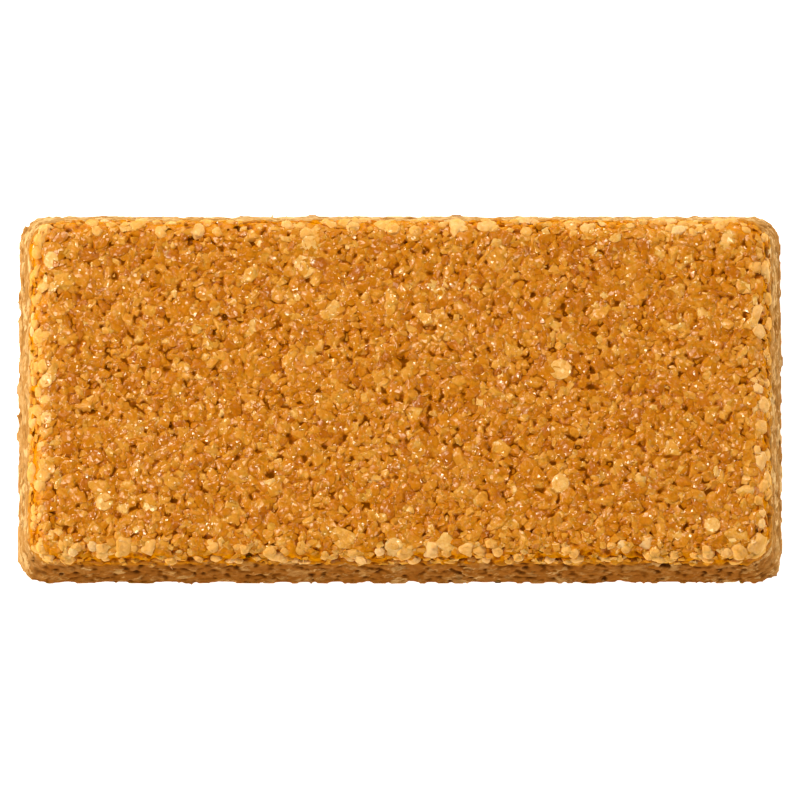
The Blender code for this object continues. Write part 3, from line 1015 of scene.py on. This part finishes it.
def show_chips(laid):
    """The crisp chips, chunks, crumbs and pale pieces of the top and the rim, laid over the glaze."""
    pieces = []
    for name in ("pressed_chips", "rim_chunks", "crumbs", "pale_pieces"):
        corners, faces, tones = laid[name]
        keep = corners[faces][:, :, 2].max(axis=1) > WALL_TOP
        if name == "rim_chunks":
            keep &= tones > RIM_CHUNKS_SHOWN
        corners, faces, _ = only_used(corners, faces[keep])
        tint = np.zeros(len(corners))
        tint[faces] = tones[keep][:, None]
        tint += RIM_CHIPS_PALER * nearness_to_rim(corners, RIM_AMBER)
        piece = joined_mesh(name, corners, faces, {"tint": tint, "syrup": np.zeros(len(corners)),
                                                   "hollow_shade": burial(corners, *CHIP_DARKENS)})
        bpy.ops.object.shade_smooth_by_angle(angle=CRISP_ANGLE)
        pieces.append(piece)
    return pieces


def show_glaze(peanuts, tint, syrup, points, normals):
    """The glaze over chips and syrup, cut into pieces that share their cut edges."""
    corners, faces = glazed_over(peanuts, syrup)
    holes = rng.choice(np.nonzero(normals[:, 2] > UNDERSIDE_FACING)[0], PINHOLE_COUNT, replace=False)
    sink_pinholes(corners, points[holes], normals[holes])
    on_rim = nearness_to_rim(corners, RIM_DROP_WIDTH)
    on_rim *= np.clip((corners[:, 2] - WALL_TOP) / RIM_DROP_EDGE, 0.0, 1.0)
    corners -= corner_normals(corners, faces) * (RIM_SYRUP_DROP * on_rim)[:, None]
    corners[:, 2] = np.maximum(corners[:, 2], 0.0)

    # Painted shade: creases and deep places get darker syrup tones, and syrup covers them sooner
    hollow_shade = np.maximum(hollowness(corners, faces), burial(corners, *GLAZE_SHADE_DEPTHS))
    tone, covered = nearest_source(corners, peanuts, syrup, tint)
    # The walls take the rubbed tones: dull from the mould, and darker as painted shade
    above_wall = (corners[:, 2] - WALL_TOP) / RIM_FADE
    rubbed_and_shaded = np.clip(0.5 - above_wall + RIM_FRAY * (tone - 0.5), 0.0, 1.0)
    covered_chip = 1.0 - np.clip((tone - BARE_TONE) / BARE_TONE_RANGE, 0.0, 1.0)
    amber = RIM_AMBER_COVER * nearness_to_rim(corners, RIM_AMBER) * covered_chip
    covered = np.clip(np.maximum(covered, hollow_shade * CREASE_COVER) + amber, 0.0, 1.0)
    # Painted light: the walls towards the lamps are painted paler, with less syrup, than the shaded front
    painted_paleness = painted_wall_light(corners)
    tone += painted_paleness
    covered *= 1.0 - PAINTED_LIGHT_CLEARS * painted_paleness

    middle = corners[faces].mean(axis=1)
    under, below_rim = middle[:, 2] < FOOT_HEIGHT, middle[:, 2] < WALL_TOP
    left = middle[:, 0] < 0
    parts = {"glaze_top_left": ~below_rim & left, "glaze_top_right": ~below_rim & ~left,
             "glaze_walls": below_rim & ~under, "glaze_underside_left": under & left,
             "glaze_underside_right": under & ~left}
    pieces = []
    for name, here in parts.items():
        part_corners, part_faces, used = only_used(corners, faces[here])
        piece = joined_mesh(name, part_corners, part_faces,
                            {"tint": tone[used], "syrup": covered[used], "hollow_shade": hollow_shade[used],
                             "rubbed_and_shaded": rubbed_and_shaded[used]})
        pieces.append(piece)
    return pieces


def build_bar():
    """The whole bar, in pieces that take the place of its plain solid."""
    form = mould_form()
    points, normals, sizes = spread_places(form)
    laid = lay_peanuts(points, normals, sizes)
    starts = np.cumsum([0] + [len(part[0]) for part in laid.values()])
    peanuts = (np.concatenate([part[0] for part in laid.values()]),
               np.concatenate([part[1] + start for part, start in zip(laid.values(), starts)]))
    tint = np.concatenate([part[2] for part in laid.values()])
    syrup = pour_syrup(form)
    bpy.data.objects.remove(form, do_unlink=True)

    pieces = show_chips(laid) + show_glaze(peanuts, tint, syrup, points, normals)
    coats = make_coats()
    for piece in pieces:
        kind = "rim" if piece.name == "rim_chunks" else "chips"
        if piece.name.startswith("glaze"):
            kind = "glaze"
        piece.data.materials.append(coats[kind])
        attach(piece, "root")
        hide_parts("peanut_bar")


# Table, lamps and camera

def lay_table():
    """A white painted board, matt and bright, so that only the bar stands out from it."""
    material, _, _ = new_material("white_painted_board", {
        "Base Color": colour("F4F4F4"),
        "Roughness": 0.9,
        "Specular IOR Level": 0.1,
        "Emission Color": (1.0, 1.0, 1.0, 1.0),
        "Emission Strength": 0.95,
    })
    table = start_piece(bpy.ops.mesh.primitive_plane_add, "table", size=TABLE_SIZE,
                        location=(0, 0, -TABLE_DROP))
    table.data.materials.append(material)


def hang_lamp(name, place, side, power, tone):
    """A square soft lamp that points at the bar."""
    lamp = bpy.data.lights.new(name, "AREA")
    lamp.shape = "RECTANGLE"
    lamp.size = side
    lamp.size_y = side
    lamp.energy = power
    lamp.color = tone
    light = bpy.data.objects.new(name, lamp)
    light.location = place
    light.rotation_euler = (-Vector(place)).to_track_quat("-Z", "Y").to_euler()
    bpy.context.scene.collection.objects.link(light)


def light_scene():
    """The lamps, and a little light from all round."""
    world = bpy.context.scene.world or bpy.data.worlds.new("world")
    bpy.context.scene.world = world
    world.use_nodes = True
    world.node_tree.nodes["Background"].inputs["Color"].default_value = (1, 1, 1, 1)
    world.node_tree.nodes["Background"].inputs["Strength"].default_value = WORLD_STRENGTH
    for lamp in LAMPS:
        hang_lamp(*lamp)
    bpy.context.scene.view_settings.view_transform = "Standard"
    bpy.context.scene.view_settings.look = "None"


def set_camera():
    """The camera, looking down on the bar from a little in front of it."""
    camera = bpy.data.objects.new("camera", bpy.data.cameras.new("camera"))
    camera.data.sensor_width = SENSOR_WIDTH
    camera.data.lens = SENSOR_WIDTH * CAMERA_DISTANCE / PICTURE_WIDTH
    camera.location = (0, -CAMERA_DISTANCE * math.sin(CAMERA_TILT) + AIM_SHIFT,
                       CAMERA_DISTANCE * math.cos(CAMERA_TILT))
    camera.rotation_euler = (CAMERA_TILT, 0, 0)
    camera.data.dof.use_dof = False
    bpy.context.scene.collection.objects.link(camera)
    bpy.context.scene.camera = camera


build_bar()
lay_table()
light_scene()
set_camera()
